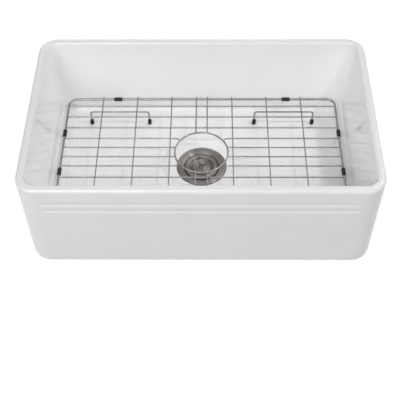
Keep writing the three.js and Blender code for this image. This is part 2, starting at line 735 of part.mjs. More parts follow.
function footCap() {
  const boreR = FOOT_WIRE_R + GAP;
  return turned(
    [
      [0, 0],
      [CAP_R - 1, 0],
      [CAP_R, 1],
      [CAP_R, CAP_HEIGHT - 0.8],
      [CAP_R - 0.8, CAP_HEIGHT],
      [boreR, CAP_HEIGHT],
      [boreR, CAP_SOLE],
      [0, CAP_SOLE],
    ],
    SMALL_ROUND,
  );
}

/** Rubber sleeve round the frame wire, lying along X or along Y. */
function bumper(alongX) {
  const boreR = FRAME_WIRE_R + GAP;
  const half = BUMPER_LENGTH / 2;
  const sleeve = turned(
    [
      [boreR, -half],
      [BUMPER_R - 0.8, -half],
      [BUMPER_R, 0.8 - half],
      [BUMPER_R, half - 0.8],
      [BUMPER_R - 0.8, half],
      [boreR, half],
    ],
    SMALL_ROUND,
  );
  return alongX ? sleeve.rotateY(Math.PI / 2) : sleeve.rotateX(Math.PI / 2);
}

const bumperX = THREE.MathUtils.lerp(outerCross[0], outerCross[1], BUMPER_PLACE);
const bumperY = (SPLIT_LONG_Y[1] + LONG_Y[0]) / 2;
const bumperZ = GRID_Z - FRAME_WIRE_R;

for (const [end, sy] of Object.entries(ENDS)) {
  for (const [side, sx] of Object.entries(SIDES)) {
    const corner = `${end}_${side}`;
    add(grid, `foot_wire_${corner}`, footWire(sx * footX, sy * footY), wireSteel);
    for (const [leg, out] of [['inner', -1], ['outer', 1]]) {
      const place = [sx * (footX + (out * FOOT_SPAN) / 2), sy * footY, capLow];
      add(grid, `foot_cap_${corner}_${leg}`, footCap(), blackRubber, place);
    }
    add(grid, `bumper_${corner}_end`, bumper(true), blackRubber, [sx * bumperX, sy * FRAME_Y, bumperZ]);
    add(grid, `bumper_${corner}_side`, bumper(false), blackRubber, [sx * FRAME_X, sy * bumperY, bumperZ]);
  }
}

export default sink;
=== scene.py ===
"""Looks of the farmhouse apron front sink: glazed basin, welded wire bottom grid, basket strainer drain.

Sizes are written in millimetres, as on the part's drawing, and go into the meshes in metres.
Origin: centre of the base plane, on the drain's axis. +X right, apron towards -Y, +Z up.
"""

import math

import bpy
import numpy as np
from mathutils import Euler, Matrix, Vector


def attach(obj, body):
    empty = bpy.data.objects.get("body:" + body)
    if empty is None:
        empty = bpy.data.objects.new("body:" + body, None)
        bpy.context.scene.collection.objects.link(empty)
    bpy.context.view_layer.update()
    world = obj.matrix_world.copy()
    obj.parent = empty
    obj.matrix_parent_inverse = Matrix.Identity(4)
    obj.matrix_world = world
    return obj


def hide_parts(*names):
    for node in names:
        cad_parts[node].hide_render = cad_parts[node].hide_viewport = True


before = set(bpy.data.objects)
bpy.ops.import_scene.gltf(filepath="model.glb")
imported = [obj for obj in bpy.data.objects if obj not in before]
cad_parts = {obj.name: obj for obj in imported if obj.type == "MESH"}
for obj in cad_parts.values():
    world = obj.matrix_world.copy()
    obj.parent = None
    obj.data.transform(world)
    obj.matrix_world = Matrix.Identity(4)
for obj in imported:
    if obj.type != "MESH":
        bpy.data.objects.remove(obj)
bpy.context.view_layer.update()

MM = 0.001
TURN = 2 * math.pi
# the two signs of a place and its mirror image
BOTH = (-1, 1)

# ------------------------------------------------------------------ sizes shared with the part, mm

WIDTH, DEPTH, HEIGHT, WALL = 762, 464, 264, 18
CORNER_R, INNER_CORNER_R = 43, 25
RIM_R, RIM_INNER_R, BASE_R, FLOOR_R = 8, 6, 24, 20
LEAN_TOP, LEAN_FOOT = np.radians(8.5), np.radians(14.5)
FLOOR_Z, UNDERSIDE_Z = 78, 46
FOOT_WIDTH, FOOT_DRAFT, FOOT_CORNER_R = 20, 4, 16
GROOVE_WIDTH, GROOVE_SINK, GROOVE_END, GROOVE_HEIGHTS = 11, 1.8, 328, (219, 198)
DISH_R, SEAT_R, SEAT_Z, FLANGE_TOP, DRAIN_HOLE_R = 155, 59.5, 64.5, 69, 44.5

THREAD_R, CUP_R, LEDGE_R, LEDGE_Z = 42, 40.6, 33.4, 63.5
NECK_R, NECK_OUTER_R, TAIL_R = 21.5, 25, 22.5
CLAMP_R = 54
# between fitted pieces of the drain, and under the boots of the grid
CLEARANCE = 0.3

GRID_Z, FRAME_X, FRAME_Y, GRID_CORNER_R = 121.5, 325, 173, 20
FRAME_WIRE_R, RING_WIRE_R, WIRE_R, FOOT_WIRE_R = 2.5, 2, 1.5, 2
RING_R, SPLIT_CROSS_X, HOOK_LENGTH = 62, 13.4, 8
CROSS_X = (73.5, 157.33, 241.17)
LONG_Y = (76.5, 112, 147.5)
SPLIT_LONG_Y = (14.1, 42.3)
WELD_GAP = 0.3
FOOT_X, FOOT_Y, FOOT_SPAN, FOOT_BEND_R = 199.25, 129.75, 142, 7
BUMPER_X, BUMPER_Y = 205.96, 59.4

SIDES = {"left": -1, "right": 1}
ENDS = {"front": -1, "back": 1}


# ------------------------------------------------------------------ materials

# places of the colour sockets on a Mix node, which has others of the same names
MIX_FIRST, MIX_SECOND, MIX_RESULT = 6, 7, 2


def srgb(code):
    """A colour written as #rrggbb, turned to the linear values that a shader takes, and opaque."""
    parts = [int(code[i:i + 2], 16) / 255 for i in (1, 3, 5)]
    return tuple(c / 12.92 if c <= 0.04045 else ((c + 0.055) / 1.055) ** 2.4 for c in parts) + (1.0,)


def node(tree, kind, inputs=None, stops=(), **settings):
    """Adds a node. Settings are its own properties; an input is a value, or another node's output to link;
    stops are the (place, colour) pairs of a colour ramp."""
    made = tree.nodes.new("ShaderNode" + kind)
    for key, value in settings.items():
        setattr(made, key, value)
    for key, value in (inputs or {}).items():
        if isinstance(value, bpy.types.NodeSocket):
            tree.links.new(value, made.inputs[key])
        else:
            made.inputs[key].default_value = value
    for k, (place, colour) in enumerate(stops):
        elements = made.color_ramp.elements
        element = elements[k] if k < len(elements) else elements.new(place)
        element.position = place
        element.color = colour
    return made


def new_material(name):
    """An empty material and its node tree."""
    made = bpy.data.materials.new(name)
    made.use_nodes = True
    made.node_tree.nodes.clear()
    return made, made.node_tree


def per_mm(size):
    """Noise scale that gives features of this size in millimetres on Object coordinates in metres."""
    return 1 / (size * MM)


def glazed_fireclay():
    """Opaque white glaze fired on fireclay: a thick glassy skin, poured and fired, never machined.
    To the eye: a deep, clean gloss over a soft white, reflections that waver a little, and faint clouding.
    The top of the rim is painted greyer: painted shade that holds back the lamps' light falling on it."""
    made, tree = new_material("glazed_fireclay")
    place = node(tree, "TexCoord").outputs["Object"]
    # clouding of about 90 mm, where the glaze was poured a little thicker or thinner
    clouds = node(tree, "TexNoise", {"Vector": place, "Scale": per_mm(90), "Detail": 3.0})
    thick = node(tree, "ValToRGB", {"Fac": clouds.outputs["Fac"]},
                 [(0.3, srgb("#f4f4f4")), (0.7, srgb("#f8f7f7"))])
    # painted shade against the lamps above: the colour greys from about 5 mm below the top of the rim
    # and is greyest at its top
    height = node(tree, "SeparateXYZ", {"Vector": place})
    rim_painted_shade = node(tree, "MapRange", {
        "Value": height.outputs["Z"], "From Min": (HEIGHT - 0.6 * RIM_R) * MM,
        "From Max": (HEIGHT - 0.1 * RIM_R) * MM})
    colour = node(tree, "Mix", {
        "Factor": rim_painted_shade.outputs["Result"], MIX_FIRST: thick.outputs["Color"],
        MIX_SECOND: srgb("#e0e0e0")}, data_type="RGBA")
    # the glaze runs and levels while molten: waves of about 60 mm, and orange peel of 7 mm
    flow = node(tree, "TexNoise", {"Vector": place, "Scale": per_mm(60), "Detail": 1.0})
    peel = node(tree, "TexNoise", {"Vector": place, "Scale": per_mm(7), "Detail": 2.0})
    waves = node(tree, "Bump", {"Strength": 1.0, "Distance": 0.15 * MM, "Height": flow.outputs["Fac"]})
    skin = node(tree, "Bump", {"Strength": 1.0, "Distance": 0.006 * MM, "Height": peel.outputs["Fac"],
                               "Normal": waves.outputs["Normal"]})
    gloss = node(tree, "MapRange", {"Value": peel.outputs["Fac"], "To Min": 0.03, "To Max": 0.06})
    shader = node(tree, "BsdfPrincipled", {
        "Base Color": colour.outputs[MIX_RESULT], "Roughness": gloss.outputs["Result"], "IOR": 1.62,
        "Normal": skin.outputs["Normal"]})
    node(tree, "OutputMaterial", {"Surface": shader.outputs[0]})
    return made


def raw_fireclay():
    """Biscuit of the same fireclay where it stood on the kiln shelf, wiped free of glaze.
    To the eye: dry, chalky buff with fine grog grains and a few darker iron specks."""
    made, tree = new_material("raw_fireclay")
    place = node(tree, "TexCoord").outputs["Object"]
    # grog is ground to half a millimetre; drawn 1.6 mm so that it shows
    grog = node(tree, "TexNoise", {"Vector": place, "Scale": per_mm(1.6), "Detail": 4.0})
    colour = node(tree, "ValToRGB", {"Fac": grog.outputs["Fac"]}, [
        (0.28, srgb("#9c8a73")), (0.36, srgb("#d3c5ae")), (0.7, srgb("#e3d8c5"))])
    bump = node(tree, "Bump", {"Strength": 1.0, "Distance": 0.25 * MM, "Height": grog.outputs["Fac"]})
    shader = node(tree, "BsdfPrincipled", {
        "Base Color": colour.outputs["Color"], "Roughness": 0.88, "Normal": bump.outputs["Normal"]})
    node(tree, "OutputMaterial", {"Surface": shader.outputs[0]})
    return made


def spun_steel():
    """Stainless steel pressed and spun on a lathe, then brushed while it turned.
    To the eye: fine circles about the axis that gather every lamp into streaks from the middle outwards."""
    made, tree = new_material("spun_stainless_steel")
    place = node(tree, "TexCoord").outputs["Object"]
    flat = node(tree, "VectorMath", {0: place, 1: (1, 1, 0)}, operation="MULTIPLY")
    radius = node(tree, "VectorMath", {0: flat.outputs[0]}, operation="LENGTH")
    # brush lines are 0.1 mm apart on the real one; drawn 0.9 mm apart so that they show
    lines = node(tree, "TexNoise", {"W": radius.outputs["Value"], "Scale": per_mm(0.9), "Detail": 3.0},
                 noise_dimensions="1D")
    # lighter and darker bands of about 7 mm, where the brush dwelt
    bands = node(tree, "TexNoise", {"W": radius.outputs["Value"], "Scale": per_mm(7), "Detail": 1.0},
                 noise_dimensions="1D")
    both = node(tree, "Math", {0: lines.outputs["Fac"], 1: bands.outputs["Fac"]}, operation="ADD")
    # darker than bare stainless: painted dark reflection of surroundings that the white world lacks
    colour = node(tree, "ValToRGB", {"Fac": both.outputs[0]},
                  [(0.75, srgb("#5b5856")), (1.0, srgb("#86827f"))])
    rough = node(tree, "MapRange", {"Value": lines.outputs["Fac"], "To Min": 0.30, "To Max": 0.44})
    bump = node(tree, "Bump", {"Strength": 1.0, "Distance": 0.01 * MM, "Height": lines.outputs["Fac"]})
    # lamps spread across the brush lines, a quarter turn from the way round
    round_about = node(tree, "VectorMath", {0: (0, 0, 1), 1: place}, operation="CROSS_PRODUCT")
    shader = node(tree, "BsdfPrincipled", {
        "Base Color": colour.outputs["Color"], "Metallic": 1.0, "Roughness": rough.outputs["Result"],
        "Anisotropic": 1.0, "Anisotropic Rotation": 0.25, "Normal": bump.outputs["Normal"],
        "Tangent": round_about.outputs[0]})
    node(tree, "OutputMaterial", {"Surface": shader.outputs[0]})
    return made


def drawn_wire_steel():
    """Stainless wire, drawn through dies, welded, then electropolished.
    To the eye: bright but greyer than chrome, with soft scuffs about 5 mm long; part of its grey is painted
    dark reflection."""
    made, tree = new_material("polished_stainless_wire")
    place = node(tree, "TexCoord").outputs["Object"]
    scuffs = node(tree, "TexNoise", {"Vector": place, "Scale": per_mm(5), "Detail": 3.0})
    # darker than bare stainless: painted dark reflection of surroundings that the white world lacks
    colour = node(tree, "ValToRGB", {"Fac": scuffs.outputs["Fac"]},
                  [(0.3, srgb("#747475")), (0.7, srgb("#9b9b9c"))])
    rough = node(tree, "MapRange", {"Value": scuffs.outputs["Fac"], "To Min": 0.12, "To Max": 0.26})
    shader = node(tree, "BsdfPrincipled", {
        "Base Color": colour.outputs["Color"], "Metallic": 1.0, "Roughness": rough.outputs["Result"]})
    node(tree, "OutputMaterial", {"Surface": shader.outputs[0]})
    return made


def moulded_rubber():
    """Black rubber moulded in one shot: foot caps, bumpers and seals.
    To the eye: nearly black, dull, with a pale bloom in patches of about 4 mm."""
    made, tree = new_material("moulded_black_rubber")
    place = node(tree, "TexCoord").outputs["Object"]
    bloom = node(tree, "TexNoise", {"Vector": place, "Scale": per_mm(4), "Detail": 3.0})
    colour = node(tree, "ValToRGB", {"Fac": bloom.outputs["Fac"]},
                  [(0.35, srgb("#0d0d0e")), (0.75, srgb("#191919"))])
    bump = node(tree, "Bump", {"Strength": 0.6, "Distance": 0.04 * MM, "Height": bloom.outputs["Fac"]})
    shader = node(tree, "BsdfPrincipled", {
        "Base Color": colour.outputs["Color"], "Roughness": 0.62, "IOR": 1.42,
        "Normal": bump.outputs["Normal"]})
    node(tree, "OutputMaterial", {"Surface": shader.outputs[0]})
    return made


def moulded_polypropylene():
    """Black polypropylene from a spark-eroded mould: nuts and threaded outlet.
    To the eye: satin black with a fine leathery grain."""
    made, tree = new_material("moulded_black_polypropylene")
    place = node(tree, "TexCoord").outputs["Object"]
    # the mould's grain is about 0.1 mm; drawn 0.8 mm so that it shows
    grain = node(tree, "TexNoise", {"Vector": place, "Scale": per_mm(0.8), "Detail": 2.0})
    colour = node(tree, "ValToRGB", {"Fac": grain.outputs["Fac"]},
                  [(0.3, srgb("#202123")), (0.7, srgb("#2b2c2e"))])
    bump = node(tree, "Bump", {"Strength": 0.5, "Distance": 0.03 * MM, "Height": grain.outputs["Fac"]})
    shader = node(tree, "BsdfPrincipled", {
        "Base Color": colour.outputs["Color"], "Roughness": 0.38, "IOR": 1.49,
        "Normal": bump.outputs["Normal"]})
    node(tree, "OutputMaterial", {"Surface": shader.outputs[0]})
    return made


def pressed_fibre():
    """Vulcanised fibre washer card, punched from sheet.
    To the eye: dull grey-buff with matted fibres about a millimetre long."""
    made, tree = new_material("pressed_fibre_card")
    place = node(tree, "TexCoord").outputs["Object"]
    fibres = node(tree, "TexNoise", {
        "Vector": place, "Scale": per_mm(1.2), "Detail": 4.0, "Distortion": 2.0})
    colour = node(tree, "ValToRGB", {"Fac": fibres.outputs["Fac"]},
                  [(0.35, srgb("#a1977f")), (0.65, srgb("#bfb49c"))])
    bump = node(tree, "Bump", {"Strength": 0.7, "Distance": 0.1 * MM, "Height": fibres.outputs["Fac"]})
    shader = node(tree, "BsdfPrincipled", {
        "Base Color": colour.outputs["Color"], "Roughness": 0.9, "Normal": bump.outputs["Normal"]})
    node(tree, "OutputMaterial", {"Surface": shader.outputs[0]})
    return made


GLAZE = glazed_fireclay()
BISCUIT = raw_fireclay()
SPUN_STEEL = spun_steel()
WIRE_STEEL = drawn_wire_steel()
RUBBER = moulded_rubber()
POLYPROPYLENE = moulded_polypropylene()
FIBRE = pressed_fibre()


# ------------------------------------------------------------------ surfaces as arrays

# longest cut at a corner, as a share of its shorter leg, so that two cuts on one leg never meet
LONGEST_CUT = 0.47
# how far the cut ends of wires are eased, mm
WIRE_END_EASE = 0.4


def sheet_of(points, rows_meet=False):
    """Grid of points (rows, columns, 3) as corners and four-sided faces between neighbours.
    The last column joins the first, and with rows_meet the last row joins the first as well."""
    rows, columns = points.shape[:2]
    i, j = np.meshgrid(np.arange(rows if rows_meet else rows - 1), np.arange(columns), indexing="ij")
    i2, j2 = (i + 1) % rows, (j + 1) % columns
    faces = np.stack([i * columns + j, i * columns + j2, i2 * columns + j2, i2 * columns + j], -1)
    return points.reshape(-1, 3), faces.reshape(-1, 4)


def joined(parts):
    """Several (corners, faces) pairs as one, each one's corner numbers moved past those before it."""
    starts = np.cumsum([0] + [len(p) for p, _ in parts[:-1]])
    return np.concatenate([p for p, _ in parts]), np.concatenate([f + s for (_, f), s in zip(parts, starts)])


def welded(points, faces):
    """Corners that agree to a thousandth of a millimetre become one, which closes seams and poles.
    A face that loses a corner becomes a triangle, and one that loses more is dropped."""
    _, first, same = np.unique(np.round(points, 3), axis=0, return_index=True, return_inverse=True)
    faces = same.reshape(-1)[faces]
    repeats = faces == np.roll(faces, -1, axis=1)
    fours = faces[repeats.sum(1) == 0]
    once = repeats.sum(1) == 1
    keep = ~repeats[once]
    threes = faces[once][keep].reshape(-1, 3)
    a, b, c = threes.T
    return points[first], fours, threes[(a != b) & (b != c) & (a != c)]


def piece(name, surface, material, body, replaces=(), sharp=40, second=None):
    """One mesh object in place, shaded smooth except along edges sharper than the angle. It rides on a body
    and stands for the part's solids named in replaces.
    second is (material, test): faces whose middle passes the test on millimetres take that material."""
    points, fours, threes = welded(*surface)
    mesh = bpy.data.meshes.new(name)
    mesh.vertices.add(len(points))
    mesh.vertices.foreach_set("co", (points * MM).astype(np.float32).ravel())
    corners = np.concatenate([fours.ravel(), threes.ravel()]).astype(np.int32)
    mesh.loops.add(len(corners))
    mesh.loops.foreach_set("vertex_index", corners)
    counts = np.concatenate([np.full(len(fours), 4), np.full(len(threes), 3)])
    mesh.polygons.add(len(counts))
    mesh.polygons.foreach_set("loop_start", (np.cumsum(counts) - counts).astype(np.int32))
    mesh.materials.append(material)
    if second:
        mesh.materials.append(second[0])
        middles = np.concatenate([points[fours].mean(1), points[threes].mean(1)])
        mesh.polygons.foreach_set("material_index", second[1](middles).astype(np.int32))
    mesh.update(calc_edges=True)
    mesh.shade_smooth()
    mesh.set_sharp_from_angle(angle=math.radians(sharp))
    made = bpy.data.objects.new(name, mesh)
    bpy.context.scene.collection.objects.link(made)
    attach(made, body)
    if replaces:
        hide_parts(*replaces)


def softened(points, cut, closed=True, steps=4):
    """Line with each corner cut back by up to that much and bridged by the parabola that leaves both legs
    tangent. cut is one number or one for each point; an open line keeps its two end points."""
    points = np.asarray(points, float)
    before, after = np.roll(points, 1, 0) - points, np.roll(points, -1, 0) - points
    reach = [np.linalg.norm(way, axis=1, keepdims=True) for way in (before, after)]
    cut = np.minimum(np.broadcast_to(np.reshape(cut, (-1, 1)), (len(points), 1)),
                     LONGEST_CUT * np.minimum(*reach))
    s = np.linspace(0, 1, steps + 1)[:, None, None]
    line = points + (1 - s) ** 2 * cut * before / reach[0] + s ** 2 * cut * after / reach[1]
    line = line.transpose(1, 0, 2)
    if closed:
        return line.reshape(-1, points.shape[1])
    return np.concatenate([points[:1], line[1:-1].reshape(-1, points.shape[1]), points[-1:]])


def with_rows(profile, low, high, spacing):
    """A (radius, height) line with extra points, at that spacing, on every leg between two heights."""
    profile = np.asarray(profile, float)
    legs = []
    for a, b in zip(profile, np.roll(profile, -1, 0)):
        inside = min(a[1], b[1]) >= low and max(a[1], b[1]) <= high
        count = max(1, int(abs(b[1] - a[1]) / spacing)) if inside else 1
        legs.append(a + (b - a) * (np.arange(count) / count)[:, None])
    return np.concatenate(legs)


def turned(profile, around=96, closed=True, bend=None):
    """Profile of (radius, height) carried round Z: x = r cos a, y = r sin a.
    bend(r, z, a) may change the radius, for threads and ribs. A closed profile meets itself again."""
    profile = np.asarray(profile, float)
    r, z = profile[:, :1], profile[:, 1:]
    a = np.arange(around)[None] * TURN / around
    r = np.broadcast_to(r, (len(profile), around)) if bend is None else bend(r, z, a)
    points = np.stack([r * np.cos(a), r * np.sin(a), np.broadcast_to(z, r.shape)], -1)
    return sheet_of(points, rows_meet=closed)


def thread(radius, low, high, pitch, depth):
    """Screw thread for turned(): between two heights, a surface of that radius sinks by the depth times a
    rounded saw of (height / pitch - angle / one turn), and the groove runs out over half a pitch at its
    ends. A power below one makes the groove broader than the crest."""
    broad, near, run_out = 0.8, 0.02, pitch / 2

    def bend(r, z, a):
        saw = 0.5 - 0.5 * np.cos(TURN * (z / pitch - a / TURN))
        fade = np.clip((z - low) / run_out, 0, 1) * np.clip((high - z) / run_out, 0, 1)
        return r - depth * saw ** broad * fade * (np.abs(r - radius) < near)
    return bend


def rod(path, radius, normal=(0, 0, 1), sides=16):
    """Round wire: a circle of the radius carried along a path in one plane, square to its way, with ends cut
    flat and eased. Point = path + radius (cos a (way x normal) + sin a normal)."""
    path = np.asarray(path, float)
    way = np.gradient(path, axis=0)
    way /= np.linalg.norm(way, axis=1, keepdims=True)
    rows = np.concatenate([path[:1], path[:1], path[:1] + WIRE_END_EASE * way[:1], path[1:-1],
                           path[-1:] - WIRE_END_EASE * way[-1:], path[-1:], path[-1:]])
    ways = np.concatenate([way[:1], way[:1], way[:1], way[1:-1], way[-1:], way[-1:], way[-1:]])
    size = np.full(len(rows), float(radius))
    size[[0, -1]] = 0
    size[[1, -2]] = radius - WIRE_END_EASE
    up = np.asarray(normal, float)
    out = np.cross(ways, up)
    a = np.arange(sides)[None, :, None] * TURN / sides
    points = rows[:, None] + size[:, None, None] * (np.cos(a) * out[:, None] + np.sin(a) * up)
    return sheet_of(points)


def stations(straight_x, straight_y, corner):
    """Way round a rounded rectangle as three arrays u, v, a, with that many columns on each straight along X,
    each straight along Y and each corner. A point of one with half sizes X, Y and corner radius R is
    ((X - R) u + R cos a, (Y - R) v + R sin a), so rings of any size share the same columns."""
    quarter = np.linspace(0, math.pi / 2, corner + 1)[:-1]
    u, v, a = [], [], []
    for k, (su, sv) in enumerate([(1, 1), (-1, 1), (-1, -1), (1, -1)]):
        along_y = k % 2 == 0
        count = straight_y if along_y else straight_x
        run = np.arange(count) / count
        moving, still = 1 - 2 * run, np.ones_like(run)
        u += [su * still if along_y else -su * moving, su * np.ones(corner)]
        v += [-sv * moving if along_y else sv * still, sv * np.ones(corner)]
        a += [still * k * math.pi / 2, k * math.pi / 2 + quarter]
    return [np.concatenate(x) for x in (u, v, a)]


def arc(u, v, radius, start, end, steps=8):
    """Points of a circle's arc about (u, v) between two angles in degrees."""
    a = np.radians(np.linspace(start, end, steps + 1))
    return np.stack([u + radius * np.cos(a), v + radius * np.sin(a)], -1)


# ------------------------------------------------------------------ basin

def inside_wall():
    """Section of an inside wall as three (inset, z) lines, each tangent to the one before: the rim's inner
    edge, a wall that leans in along an arc many times its own height, and the curve into the floor.
    The big arc's radius is its drop / (sin of the lean at its foot - sin of the lean at its top)."""
    top_inset = WALL - RIM_INNER_R * (1 - math.cos(LEAN_TOP))
    top_z = HEIGHT - RIM_INNER_R * (1 - math.sin(LEAN_TOP))
    foot_z = FLOOR_Z + FLOOR_R * (1 - math.sin(LEAN_FOOT))
    radius = (top_z - foot_z) / (math.sin(LEAN_FOOT) - math.sin(LEAN_TOP))
    foot_inset = top_inset + radius * (math.cos(LEAN_TOP) - math.cos(LEAN_FOOT))
    from_top, from_foot = 180 + math.degrees(LEAN_TOP), 180 + math.degrees(LEAN_FOOT)
    lip = arc(WALL - RIM_INNER_R, HEIGHT - RIM_INNER_R, RIM_INNER_R, 90, from_top - 180)
    wall = arc(top_inset + radius * math.cos(LEAN_TOP), top_z + radius * math.sin(LEAN_TOP), radius,
               from_top, from_foot, 14)
    cove = arc(foot_inset + FLOOR_R * math.cos(LEAN_FOOT), FLOOR_Z + FLOOR_R, FLOOR_R, from_foot, 270, 12)
    return lip, wall[1:-1], cove


def basin():
    """The fired body as one skin. Rows follow its section: hole, underside, foot, outside wall, rim, inside
    wall, floor, dish, seat, and back into the hole. Each row is a ring between a rounded rectangle, set in
    from the outline by its inset, and a circle: point = (1 - share) rectangle + share circle.
    The two grooves are a round bar's mark: depth = sqrt(R^2 - (z - groove)^2 - past_end^2) - (R - sink)."""
    u, v, a = stations(straight_x=150, straight_y=56, corner=16)

    def rows(inset, z, corner=0.0, share=0.0, radius=0.0):
        together = np.broadcast_arrays(*map(np.atleast_1d, (inset, z, corner, share, radius)))
        return np.stack(together, -1).astype(float)

    foot_inset = BASE_R + FOOT_WIDTH
    hollow_inset, hollow_cove, foot_ease = foot_inset + FOOT_DRAFT, 9, 2
    pocket = softened([[hollow_inset + 30, UNDERSIDE_Z], [hollow_inset, UNDERSIDE_Z], [foot_inset, 0],
                       [BASE_R + 1, 0]], [0, hollow_cove, foot_ease, 0], closed=False, steps=6)[1:-1]
    base = arc(BASE_R, BASE_R, BASE_R, 270, 180, 10)
    # rows stand close together only where the grooves are
    fine_low, fine_high, fine_step = 178, 228, 0.8
    outside_z = np.unique(np.concatenate([
        np.linspace(BASE_R, fine_low - 2, 8), np.arange(fine_low, fine_high, fine_step),
        np.linspace(fine_high + 2, HEIGHT - RIM_R, 6)]))[1:-1]
    rim = arc(RIM_R, HEIGHT - RIM_R, RIM_R, 180, 90, 8)
    lip, wall, cove = inside_wall()
    edge = cove[-1, 0]
    inner_corner = INNER_CORNER_R - (edge - cove[0, 0])
    to_circle = np.linspace(0, 1, 10)[1:]
    # the dish falls to the seat along half a cosine wave
    t = np.linspace(0, 1, 30)[1:]
    seat_ease, hole_ease = 0.8, 1.5
    dish_r = DISH_R + (SEAT_R + seat_ease - DISH_R) * t
    dish_z = FLOOR_Z - (FLOOR_Z - FLANGE_TOP) * (1 - np.cos(math.pi * t)) / 2
    seat = softened([[SEAT_R + 3, FLANGE_TOP], [SEAT_R, FLANGE_TOP], [SEAT_R, SEAT_Z], [DRAIN_HOLE_R, SEAT_Z],
                     [DRAIN_HOLE_R, UNDERSIDE_Z], [DRAIN_HOLE_R + 20, UNDERSIDE_Z]],
                    [0, seat_ease, 0.6, hole_ease, hole_ease, 0], closed=False)[1:-1]
    from_circle = np.linspace(1, 0, 8)[1:]
    section = np.concatenate([
        rows(hollow_inset + hollow_cove, UNDERSIDE_Z, FOOT_CORNER_R, from_circle, DRAIN_HOLE_R + 12),
        rows(pocket[:, 0], pocket[:, 1], FOOT_CORNER_R),
        rows(base[:, 0], base[:, 1], CORNER_R - base[:, 0]),
        rows(0, outside_z, CORNER_R),
        rows(rim[:, 0], rim[:, 1], CORNER_R - rim[:, 0]),
        rows(lip[:, 0], lip[:, 1], INNER_CORNER_R + WALL - lip[:, 0]),
        rows(wall[:, 0], wall[:, 1], INNER_CORNER_R),
        rows(cove[:, 0], cove[:, 1], INNER_CORNER_R + cove[0, 0] - cove[:, 0]),
        rows(edge, FLOOR_Z, inner_corner, to_circle, DISH_R),
        rows(edge, dish_z, inner_corner, 1, dish_r),
        rows(edge, seat[:, 1], inner_corner, 1, seat[:, 0])])
    inset, z, corner, share, radius = (section[:, k:k + 1] for k in range(5))
    x = (WIDTH / 2 - inset - corner) * u + corner * np.cos(a)
    y = (DEPTH / 2 - inset - corner) * v + corner * np.sin(a)
    edge_x = (WIDTH / 2 - edge - inner_corner) * u + inner_corner * np.cos(a)
    edge_y = (DEPTH / 2 - edge - inner_corner) * v + inner_corner * np.sin(a)
    round_a = np.arctan2(edge_y, edge_x)
    x = (1 - share) * x + share * radius * np.cos(round_a)
    y = (1 - share) * y + share * radius * np.sin(round_a)
    z = np.broadcast_to(z, x.shape)

    bar_r = (GROOVE_WIDTH ** 2 / 4 + GROOVE_SINK ** 2) / (2 * GROOVE_SINK)
    past_end = np.maximum(np.abs(x) - GROOVE_END, 0)
    apron = (inset < 0.01) & (y < 0)
    # a groove moves the apron in by the larger of its cut and nothing; the ease rounds the groove's edges,
    # and a bar that is clear of the apron by that much leaves no mark
    groove_ease, clear = 0.5, 2
    for height in GROOVE_HEIGHTS:
        inside = bar_r ** 2 - (z - height) ** 2 - past_end ** 2
        cut = -DEPTH / 2 - (bar_r - GROOVE_SINK) + np.sqrt(np.maximum(inside, 0)) - y
        eased = (cut + np.sqrt(cut ** 2 + groove_ease ** 2)) / 2 * np.clip((cut + clear) / clear, 0, 1)
        y = np.where(apron, y + eased, y)
    return sheet_of(np.stack([x, y, z], -1), rows_meet=True)


def bare_clay(middles):
    """Faces of the foot's flat sole and of the hollow underneath, which carry no glaze."""
    margin = 0.1
    past_sole = np.maximum(np.abs(middles[:, 0]) - (WIDTH / 2 - BASE_R),
                           np.abs(middles[:, 1]) - (DEPTH / 2 - BASE_R))
    z = middles[:, 2]
    return (z < UNDERSIDE_Z + margin) & (past_sole < margin) & (z > -margin)


piece("basin", basin(), GLAZE, "root", ["sink_bowl"], second=(BISCUIT, bare_clay))


# ------------------------------------------------------------------ drain under and in the floor

def strainer_body():
    """Flange, cup, ledge, lower cup, cone and neck in one turned section, threaded outside cup and neck."""
    profile = softened([
        [NECK_R, -20], [NECK_OUTER_R, -20], [NECK_OUTER_R, 1], [31.4, 3], [33.8, 14], [THREAD_R, 26],
        [THREAD_R, 66.5], [57, 66.5], [58, 67.1], [57.4, 68.4], [54, 69], [47, 68.6], [42.4, 67.2],
        [CUP_R, 65], [CUP_R, LEDGE_Z], [LEDGE_R + 0.8, LEDGE_Z], [LEDGE_R, LEDGE_Z - 0.8],
        [31.4, 14], [23.5, 4], [NECK_R, 2]],
        [0.3, 0.6, 1.5, 2, 5, 1, 0.3, 0.5, 0.5, 0.6, 2.4, 3, 1.6, 2, 0.8, 0.5, 0.5, 5, 5, 1])
    profile = with_rows(profile, low=-20, high=66.2, spacing=0.5)
    cup = thread(THREAD_R, low=27, high=62, pitch=3.0, depth=0.9)
    neck = thread(NECK_OUTER_R, low=-19.5, high=-1, pitch=2.5, depth=0.8)
    return turned(profile, 128, bend=lambda r, z, a: neck(cup(r, z, a), z, a))


def ring_of(inner, outer, low, high, ease=0.4):
    """Flat ring: a rectangle between two radii and two heights, edges eased, carried round Z."""
    return turned(softened([[inner, low], [outer, low], [outer, high], [inner, high]], ease, steps=3))


def lugged_nut():
    """Ring nut whose rim steps out into lugs: radius = rim + lug x a soft step of cos(lugs x a)."""
    inner, outer, low, high, ease = THREAD_R + CLEARANCE, THREAD_R + 8, 28.9, 40.9, 1.1
    lugs, lug, step_from, step_width = 6, 6, 0.55, 0.2

    def bend(r, z, a):
        step = np.clip((np.cos(lugs * a) - step_from) / step_width, 0, 1)
        return r + lug * step * (3 - 2 * step) * step * (r > outer - 1.5)
    profile = softened([[inner, low], [outer, low], [outer, high], [inner, high]], ease, steps=3)
    return turned(profile, 360, bend=bend)


